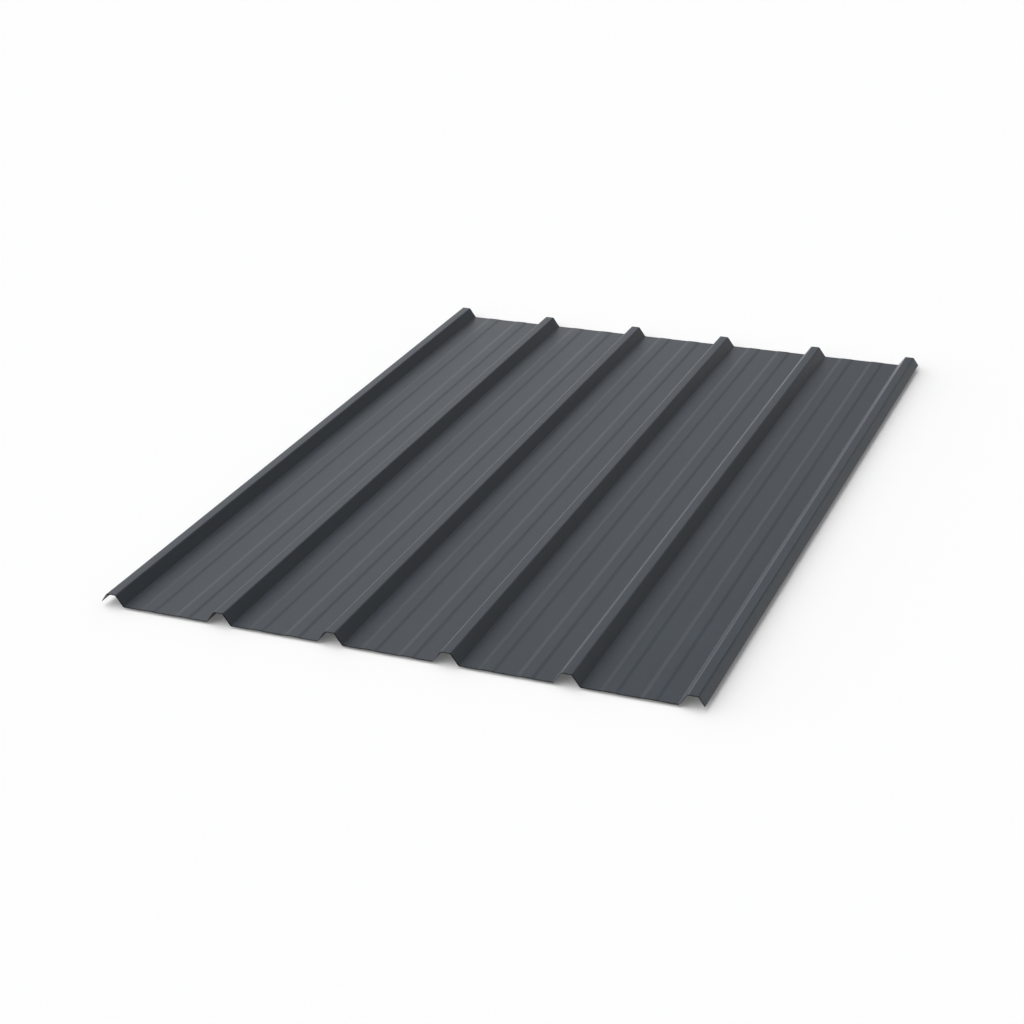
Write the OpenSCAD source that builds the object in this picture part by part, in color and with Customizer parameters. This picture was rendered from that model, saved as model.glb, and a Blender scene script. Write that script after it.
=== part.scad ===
// Trapezoidal profiled steel sheet for roofs and walls, roll-formed as one piece.
// It lies flat on its pans with the ribs up: X runs across the ribs, Y along them,
// and Z = 0 is the underside of the pans.

/* [Sheet] */
// Length of the sheet along its ribs
sheet_length = 1500; // [300:10:6000]
// Thickness of the coated steel
sheet_thickness = 0.7; // [0.4:0.05:1.5]

/* [Ribs] */
// Number of main ribs across the sheet, the two lap ribs included
rib_count = 6; // [2:1:9]
// Distance from the middle of one rib to the middle of the next
rib_pitch = 200; // [180:1:333]
// Depth of the whole section, from the underside of the pans to the top of the crests
rib_depth = 20; // [14:0.5:40]
// Width of a rib's crest, between the corners of the sheet's middle line
crest_width = 17; // [12:0.5:40]
// Width of a rib at its foot, between the corners of the sheet's middle line
rib_foot_width = 44; // [42:0.5:70]
// Inside radius of the bends at a rib's crest and foot
rib_bend_radius = 3; // [1:0.25:5]

/* [Pan stiffeners] */
// Number of low stiffening ribs in each pan
stiffener_count = 2; // [0:1:2]
// Distance from the middle of one stiffener to the middle of the next
stiffener_spacing = 64.5; // [42:0.5:70]
// Height of a stiffener above its pan
stiffener_height = 0.6; // [0.4:0.1:3]
// Width of a stiffener's flat top, between the corners of the sheet's middle line
stiffener_top_width = 17; // [10:0.5:24]
// Width of each of a stiffener's two slopes, measured across the sheet
stiffener_slope_width = 6.5; // [3:0.5:8]
// Inside radius of the bends along a stiffener
stiffener_bend_radius = 5; // [1:0.5:6]

/* [Side laps] */
// Height of the two long free edges above the underside of the pans
lap_edge_height = 4.5; // [1:0.5:8]

/* [Hidden] */
// Largest turn of one facet of a bend, in degrees, and the fewest facets in a bend
facet_turn = 9;
least_facets = 3;

paint_color = [0.33, 0.35, 0.37];

// The section is drawn on the middle line of the sheet, half a thickness inside each face
half_thickness = sheet_thickness / 2;
pan_z = half_thickness;
crest_z = rib_depth - half_thickness;
pan_width = rib_pitch - rib_foot_width;
flank_run = (rib_foot_width - crest_width) / 2;
flank_angle = atan2(crest_z - pan_z, flank_run);

// The free edges are cut square to the flank, so their lower corner sets the height
lap_z = lap_edge_height + half_thickness * cos(flank_angle);
lap_run = flank_run * (crest_z - lap_z) / (crest_z - pan_z);

function across(index, count, pitch) = (index - (count - 1) / 2) * pitch;

// Corners of the middle line: [x, z, inside radius of the bend there]
function crest_corners(x) = [
    for (side = [-1, 1]) [x + side * crest_width / 2, crest_z, rib_bend_radius]
];

function stiffener_corners(x) =
    let (top = stiffener_top_width / 2, foot = top + stiffener_slope_width)
    [for (corner = [[-foot, 0], [-top, 1], [top, 1], [foot, 0]])
        [x + corner[0], pan_z + corner[1] * stiffener_height, stiffener_bend_radius]];

function pan_corners(x) = [
    [x - pan_width / 2, pan_z, rib_bend_radius],
    for (i = [0 : 1 : stiffener_count - 1])
        each stiffener_corners(x + across(i, stiffener_count, stiffener_spacing)),
    [x + pan_width / 2, pan_z, rib_bend_radius]
];

// Free end of the leg outside the first rib (side -1) or the last rib (side 1)
function lap_end(side) = [
    side * (across(rib_count - 1, rib_count, rib_pitch) + crest_width / 2 + lap_run), lap_z
];

middle_line = [
    lap_end(-1),
    for (i = [0 : rib_count - 1]) each concat(
        crest_corners(across(i, rib_count, rib_pitch)),
        i < rib_count - 1 ? pan_corners(across(i, rib_count - 1, rib_pitch)) : []
    ),
    lap_end(1)
];

function flat(corner) = [corner[0], corner[1]];
function direction(from, to) = (flat(to) - flat(from)) / norm(flat(to) - flat(from));
function left_of(v) = [-v[1], v[0]];
function turned(v, angle) = v * cos(angle) + left_of(v) * sin(angle);

// Arc of one face of the sheet round a bend; face is 1 for the upper face and -1 for the lower
function bend(before, corner, after, face) =
    let (
        into = direction(before, corner),
        out = direction(corner, after),
        turn = atan2(cross(into, out), into * out),
        hand = sign(turn),
        radius = corner[2] + half_thickness,
        centre = flat(corner) - into * radius * tan(abs(turn) / 2) + left_of(into) * hand * radius,
        spoke = left_of(into) * (face * half_thickness - hand * radius),
        facets = max(least_facets, ceil(abs(turn) / facet_turn))
    )
    [for (k = [0 : facets]) centre + turned(spoke, turn * k / facets)];

// Outline of one face of the sheet, from the left free edge to the right one
function face_line(face) =
    let (
        last = len(middle_line) - 1,
        start = left_of(direction(middle_line[0], middle_line[1])),
        end = left_of(direction(middle_line[last - 1], middle_line[last]))
    )
    [
        flat(middle_line[0]) + start * face * half_thickness,
        for (i = [1 : last - 1]) each bend(middle_line[i - 1], middle_line[i], middle_line[i + 1], face),
        flat(middle_line[last]) + end * face * half_thickness
    ];

function reversed(points) = [for (i = [len(points) - 1 : -1 : 0]) points[i]];

module section() {
    polygon(concat(face_line(1), reversed(face_line(-1))));
}

module profiled_sheet() {
    color(paint_color)
        rotate([90, 0, 0])
            linear_extrude(height = sheet_length, center = true)
                section();
}

profiled_sheet();
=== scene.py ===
"""Dresses a trapezoidal steel sheet: its coil coating, with a camera, a floor and soft light."""
from math import cos, radians

import bpy
import numpy as np
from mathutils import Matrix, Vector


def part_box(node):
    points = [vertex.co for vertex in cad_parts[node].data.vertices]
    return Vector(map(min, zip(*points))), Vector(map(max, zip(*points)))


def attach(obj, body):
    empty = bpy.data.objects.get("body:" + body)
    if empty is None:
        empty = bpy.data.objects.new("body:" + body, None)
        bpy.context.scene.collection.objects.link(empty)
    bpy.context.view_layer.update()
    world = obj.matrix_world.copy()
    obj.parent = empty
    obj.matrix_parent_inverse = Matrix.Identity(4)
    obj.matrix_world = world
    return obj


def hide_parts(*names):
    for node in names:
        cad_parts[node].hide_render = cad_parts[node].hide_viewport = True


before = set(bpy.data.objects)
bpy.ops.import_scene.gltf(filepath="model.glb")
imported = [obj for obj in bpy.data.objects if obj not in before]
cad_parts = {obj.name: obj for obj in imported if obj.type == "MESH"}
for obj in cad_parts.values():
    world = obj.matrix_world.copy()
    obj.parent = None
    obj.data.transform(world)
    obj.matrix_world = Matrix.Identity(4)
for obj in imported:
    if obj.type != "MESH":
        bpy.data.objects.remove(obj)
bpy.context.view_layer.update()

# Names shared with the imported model
CAD_NODE = "profiled_sheet"
BODY = "root"

# Camera: place in metres, turn in degrees about X, Y and Z, lens in millimetres
CAMERA_PLACE = (1.29818, -3.36578, 1.57968)
CAMERA_TURN = (65.286, 1.2986, 21.8464)
CAMERA_LENS = 74.191

# Reading the section: decimals of a metre that tell points apart, the least part of a normal along
# the ribs that makes a face an end face, and the longest facet of a bend in metres
POINT_DIGITS = 6
END_FACE_NORMAL = 0.5
LONGEST_BEND_FACET = 0.0015

# Sheet mesh: steps along the ribs, depth in metres of the band of painted shade beside the sheared ends,
# and the angle in degrees from which an edge is sharp
LENGTH_STEPS = 40
PAINTED_SHADE_BAND = 0.002
SHARP_EDGE = 40.0

# The sheet's three finishes, as places in its list of materials
TOP, UNDERSIDE, EDGE = 0, 1, 2

# Finish colours, linear
TOP_COAT = (0.0265, 0.0350, 0.0460)
TOP_COAT_PALE = (0.0335, 0.0440, 0.0570)
BURNISHED_COAT = (0.0375, 0.0470, 0.0590)
BACKING_COAT = (0.030, 0.032, 0.035)
BACKING_COAT_PALE = (0.040, 0.042, 0.045)
# The cut edge's near-black colour is painted shade along the sheared ends; the pale patches are bare
# steel
SHADED_CUT_STEEL = (0.006, 0.0065, 0.007)
CUT_STEEL_PALE = (0.030, 0.031, 0.033)
WHITE = (1.0, 1.0, 1.0)

# Noise patterns: patches to a metre, and levels of detail. Streaks are stretched along the ribs
COAT_CLOUDS = (5.0, 3.0)
COAT_STREAKS = (1.0, 2.0)
STREAK_STRETCH = (140.0, 1.5, 140.0)
COAT_FLECKS = (350.0, 1.0)
COAT_GRAIN = (900.0, 2.0)
BACKING_CLOUDS = (14.0, 4.0)
BACKING_GRAIN = (700.0, 2.0)
EDGE_PATCHES = (160.0, 3.0)

# Stretches of a pattern over which a finish goes from one end of its range to the other. The top
# coat's pattern is the sum of its clouds, streaks and flecks
COAT_TONES = (1.1, 1.9)
BACKING_TONES = (0.3, 0.7)
EDGE_TONES = (0.3, 0.7)
BARE_STEEL_TONES = (0.45, 0.75)

# Roughness at the low and the high end of those stretches
COAT_ROUGHNESS = (0.38, 0.43)
BACKING_ROUGHNESS = (0.55, 0.68)
EDGE_ROUGHNESS = (0.5, 0.4)

# Depth of each finish's bumps in metres, and the gloss of the coat and of the sheared edge
COAT_BUMP = 0.00002
BACKING_BUMP = 0.00003
EDGE_BUMP = 0.00005
COAT_IOR = 1.5
EDGE_SPECULAR = 0.1

# Light: an even sky with soft brighter patches behind, and a low wide lamp on the left.
# Each patch has its direction, its edge in degrees and what its middle adds to the sky
SKY_LEVEL = 0.30
SKY_PATCHES = (
    ((-0.4981, 0.8627, 0.0872), 24.0, 1.25),
    ((0.6666, 0.7403, -0.0872), 16.0, 1.6),
)
# Direction towards the lamp, its strength, and its width in degrees
LAMP_TO = (-0.8343, -0.3541, 0.4226)
LAMP_POWER = 4.65
LAMP_SPREAD = 120.0

# Floor: half its side and its depth under the sheet in metres, and its share of plain white
FLOOR_HALF_SIZE = 60.0
FLOOR_DROP = 0.004
FLOOR_COLOR = (0.93, 0.93, 0.93)
FLOOR_GLOW = 0.10


def add(tree, kind, inputs=None, **settings):
    """Adds a shader node. Each input is a value, or the socket that feeds it."""
    node = tree.nodes.new("ShaderNode" + kind)
    for name, value in settings.items():
        setattr(node, name, value)
    for name, value in (inputs or {}).items():
        if isinstance(value, bpy.types.NodeSocket):
            tree.links.new(value, node.inputs[name])
        else:
            node.inputs[name].default_value = value
    return node


def combined(tree, operation, first, second):
    """Two numbers, of which either may be a socket, put together by a Math node."""
    return add(tree, "Math", {0: first, 1: second}, operation=operation).outputs[0]


def opaque(color):
    """The colour with an alpha of 1."""
    return (*color, 1.0)


def blended(tree, share, first, second):
    """A colour that goes from first to second as share goes from 0 to 1."""
    mix = add(tree, "Mix", data_type="RGBA")
    # A Mix node has sockets of the same name for each type, so those for colours go by number
    share_in, first_in, second_in = mix.inputs[0], mix.inputs[6], mix.inputs[7]
    tree.links.new(share, share_in)
    for source, socket in ((first, first_in), (second, second_in)):
        if isinstance(source, bpy.types.NodeSocket):
            tree.links.new(source, socket)
        else:
            socket.default_value = opaque(source)
    return mix.outputs[2]


def ranged(tree, value, stretch, result):
    """The value with the two ends of stretch moved to those of result, and held between them."""
    inputs = {
        "Value": value,
        "From Min": stretch[0], "From Max": stretch[1],
        "To Min": result[0], "To Max": result[1],
    }
    return add(tree, "MapRange", inputs).outputs["Result"]


def noise(tree, pattern, stretch=(1.0, 1.0, 1.0)):
    """Noise of this pattern in the sheet's own coordinates."""
    scale, detail = pattern
    place = add(tree, "TexCoord").outputs["Object"]
    mapped = add(tree, "Mapping", {"Vector": place, "Scale": stretch}).outputs["Vector"]
    inputs = {"Vector": mapped, "Scale": scale, "Detail": detail}
    return add(tree, "TexNoise", inputs).outputs["Fac"]


def new_material(name):
    """A new material, its node tree and the shader in it."""
    material = bpy.data.materials.new(name)
    material.use_nodes = True
    return material, material.node_tree, material.node_tree.nodes["Principled BSDF"]


def feed(tree, shader, color, roughness, height, depth):
    """Gives the shader its colour, its roughness and a bump of this height map, depth in metres."""
    bump = add(tree, "Bump", {"Height": height, "Distance": depth, "Strength": 1.0})
    tree.links.new(color, shader.inputs["Base Color"])
    tree.links.new(roughness, shader.inputs["Roughness"])
    tree.links.new(bump.outputs["Normal"], shader.inputs["Normal"])


def top_coat():
    """Satin coil coating, cloudy and flecked, with faint streaks along the ribs, rubbed on the bends."""
    material, tree, shader = new_material("top_coat")
    clouds = noise(tree, COAT_CLOUDS)
    streaks = noise(tree, COAT_STREAKS, STREAK_STRETCH)
    flecks = noise(tree, COAT_FLECKS)
    grain = noise(tree, COAT_GRAIN)
    bend = add(tree, "Attribute", attribute_name="bend").outputs["Fac"]

    tone = combined(tree, "ADD", combined(tree, "ADD", clouds, streaks), flecks)
    coat = blended(tree, ranged(tree, tone, COAT_TONES, (0.0, 1.0)), TOP_COAT, TOP_COAT_PALE)
    color = blended(tree, bend, coat, BURNISHED_COAT)
    rough = ranged(tree, tone, COAT_TONES, COAT_ROUGHNESS)
    feed(tree, shader, color, rough, grain, COAT_BUMP)
    shader.inputs["IOR"].default_value = COAT_IOR
    return material


def backing_coat():
    """Thin matt primer on the underside, unevenly covered."""
    material, tree, shader = new_material("backing_coat")
    clouds = noise(tree, BACKING_CLOUDS)
    grain = noise(tree, BACKING_GRAIN)
    color = blended(tree, clouds, BACKING_COAT, BACKING_COAT_PALE)
    rough = ranged(tree, clouds, BACKING_TONES, BACKING_ROUGHNESS)
    feed(tree, shader, color, rough, grain, BACKING_BUMP)
    return material


def cut_edge_and_shade():
    """Sheared edge and the band beside it: near black as painted shade along the ends, and paler in
    patches where bare steel shows.
    """
    material, tree, shader = new_material("cut_edge_and_shade")
    drawn = noise(tree, EDGE_PATCHES)
    bare = ranged(tree, drawn, BARE_STEEL_TONES, (0.0, 1.0))
    color = blended(tree, bare, SHADED_CUT_STEEL, CUT_STEEL_PALE)
    rough = ranged(tree, drawn, EDGE_TONES, EDGE_ROUGHNESS)
    feed(tree, shader, color, rough, drawn, EDGE_BUMP)
    shader.inputs["Specular IOR Level"].default_value = EDGE_SPECULAR
    return material


def section_lines(node):
    """The section's upper and lower lines at the near end, left to right, as (x, z) points."""
    mesh = node.data
    near = min(vertex.co.y for vertex in mesh.vertices)
    upper, lower = set(), set()
    for face in mesh.polygons:
        if abs(face.normal.y) > END_FACE_NORMAL:
            continue
        line = upper if face.normal.z > 0 else lower
        for index in face.vertices:
            x, y, z = mesh.vertices[index].co
            if round(y - near, POINT_DIGITS) == 0:
                line.add((round(x, POINT_DIGITS), round(z, POINT_DIGITS)))
    # A free edge's face looks down too, so its upper corner is taken out of the lower line
    return sorted(upper), sorted(lower - upper)


def bend_marks(line):
    """1 at each point of a line that lies inside a bend, and 0 elsewhere."""
    steps = np.hypot(*np.diff(np.array(line), axis=0).T)
    short = np.concatenate([[False], steps < LONGEST_BEND_FACET, [False]])
    return (short[:-1] & short[1:]).astype(float)


def sheet_faces(count, rows):
    """Faces of a sheet with count points in each of its section's two lines, and their finishes."""
    size = 2 * count
    faces, finishes = [], []
    around = [TOP] * (count - 1) + [EDGE] + [UNDERSIDE] * (count - 1) + [EDGE]
    for row in range(rows):
        start = row * size
        # The rows beside the two ends take the dark edge finish: a band of painted shade along the
        # sheared ends
        beside_end = row in (0, rows - 1)
        for i, finish in enumerate(around):
            after = (i + 1) % size
            faces.append((start + i, start + after, start + size + after, start + size + i))
            finishes.append(EDGE if beside_end else finish)
    last = rows * size
    for i in range(count - 1):
        below, below_next = size - 1 - i, size - 2 - i
        faces.append((i, below, below_next, i + 1))
        faces.append((last + i, last + i + 1, last + below_next, last + below))
        finishes += [EDGE, EDGE]
    return faces, finishes


def swept_sheet(name, upper, lower, near, far):
    """The section swept from near to far, with its bends marked for the coating."""
    inner = np.linspace(near + PAINTED_SHADE_BAND, far - PAINTED_SHADE_BAND, LENGTH_STEPS + 1)
    stations = [near, *inner, far]
    points = [(x, y, z) for y in stations for x, z in upper + lower[::-1]]
    faces, finishes = sheet_faces(len(upper), len(stations) - 1)

    mesh = bpy.data.meshes.new(name)
    mesh.from_pydata(points, [], faces)
    mesh.polygons.foreach_set("material_index", finishes)
    mesh.polygons.foreach_set("use_smooth", [True] * len(faces))
    mesh.set_sharp_from_angle(angle=radians(SHARP_EDGE))
    marks = np.concatenate([bend_marks(upper), bend_marks(lower)[::-1]])
    bends = mesh.attributes.new("bend", "FLOAT", "POINT")
    bends.data.foreach_set("value", np.tile(marks, len(stations)))
    return mesh


def painted_sheet():
    """The dressed sheet, which takes its section and length from the CAD node."""
    upper, lower = section_lines(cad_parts[CAD_NODE])
    low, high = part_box(CAD_NODE)
    mesh = swept_sheet("painted_sheet", upper, lower, low[1], high[1])
    # The same order as TOP, UNDERSIDE and EDGE
    for make in (top_coat, backing_coat, cut_edge_and_shade):
        mesh.materials.append(make())
    sheet = bpy.data.objects.new("painted_sheet", mesh)
    bpy.context.scene.collection.objects.link(sheet)
    shading = sheet.modifiers.new("flat_pans", "WEIGHTED_NORMAL")
    shading.keep_sharp = True
    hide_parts(CAD_NODE)
    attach(sheet, BODY)


def floor_paper():
    """White paper that takes the shadow, and looks a little whiter to the camera and in gloss."""
    material, tree, shader = new_material("floor_paper")
    shader.inputs["Base Color"].default_value = opaque(FLOOR_COLOR)
    shader.inputs["Roughness"].default_value = 1.0
    shader.inputs["Specular IOR Level"].default_value = 0.0
    ray = add(tree, "LightPath").outputs
    seen = combined(tree, "MAXIMUM", ray["Is Camera Ray"], ray["Is Glossy Ray"])
    seen = combined(tree, "MAXIMUM", seen, ray["Is Transmission Ray"])
    share = combined(tree, "MULTIPLY", seen, FLOOR_GLOW)
    glow = add(tree, "Emission", {"Color": opaque(WHITE), "Strength": 1.0}).outputs[0]
    mix = add(tree, "MixShader", {0: share, 1: shader.outputs[0], 2: glow}).outputs[0]
    tree.links.new(mix, tree.nodes["Material Output"].inputs["Surface"])
    return material


def studio_floor():
    """A wide pale floor just under the sheet."""
    mesh = bpy.data.meshes.new("floor")
    corners = [
        (x * FLOOR_HALF_SIZE, y * FLOOR_HALF_SIZE, -FLOOR_DROP)
        for x, y in ((-1, -1), (1, -1), (1, 1), (-1, 1))
    ]
    mesh.from_pydata(corners, [], [(0, 1, 2, 3)])
    mesh.materials.append(floor_paper())
    floor = bpy.data.objects.new("floor", mesh)
    bpy.context.scene.collection.objects.link(floor)


def studio_sky():
    """An even sky with its soft brighter patches."""
    world = bpy.data.worlds.new("studio")
    world.use_nodes = True
    bpy.context.scene.world = world
    tree = world.node_tree
    toward = add(tree, "TexCoord").outputs["Generated"]
    level = SKY_LEVEL
    for middle, edge, gain in SKY_PATCHES:
        dot = add(tree, "VectorMath", {0: toward, 1: middle}, operation="DOT_PRODUCT")
        patch = ranged(tree, dot.outputs["Value"], (cos(radians(edge)), 1.0), (0.0, gain))
        level = combined(tree, "ADD", level, patch)
    background = tree.nodes["Background"].inputs
    tree.links.new(level, background["Strength"])
    background["Color"].default_value = opaque(WHITE)


def studio_lamp():
    """One wide soft lamp from the left and a little in front."""
    lamp = bpy.data.lights.new("lamp", "SUN")
    lamp.energy = LAMP_POWER
    lamp.angle = radians(LAMP_SPREAD)
    holder = bpy.data.objects.new("lamp", lamp)
    holder.rotation_euler = Vector(LAMP_TO).to_track_quat("Z", "Y").to_euler()
    bpy.context.scene.collection.objects.link(holder)


def photo_camera():
    """The camera at the photograph's viewing angle."""
    camera = bpy.data.cameras.new("camera")
    camera.lens = CAMERA_LENS
    holder = bpy.data.objects.new("camera", camera)
    holder.location = CAMERA_PLACE
    holder.rotation_euler = [radians(turn) for turn in CAMERA_TURN]
    bpy.context.scene.collection.objects.link(holder)
    bpy.context.scene.camera = holder


bpy.context.scene.view_settings.view_transform = "Standard"
photo_camera()
studio_floor()
studio_sky()
studio_lamp()
painted_sheet()
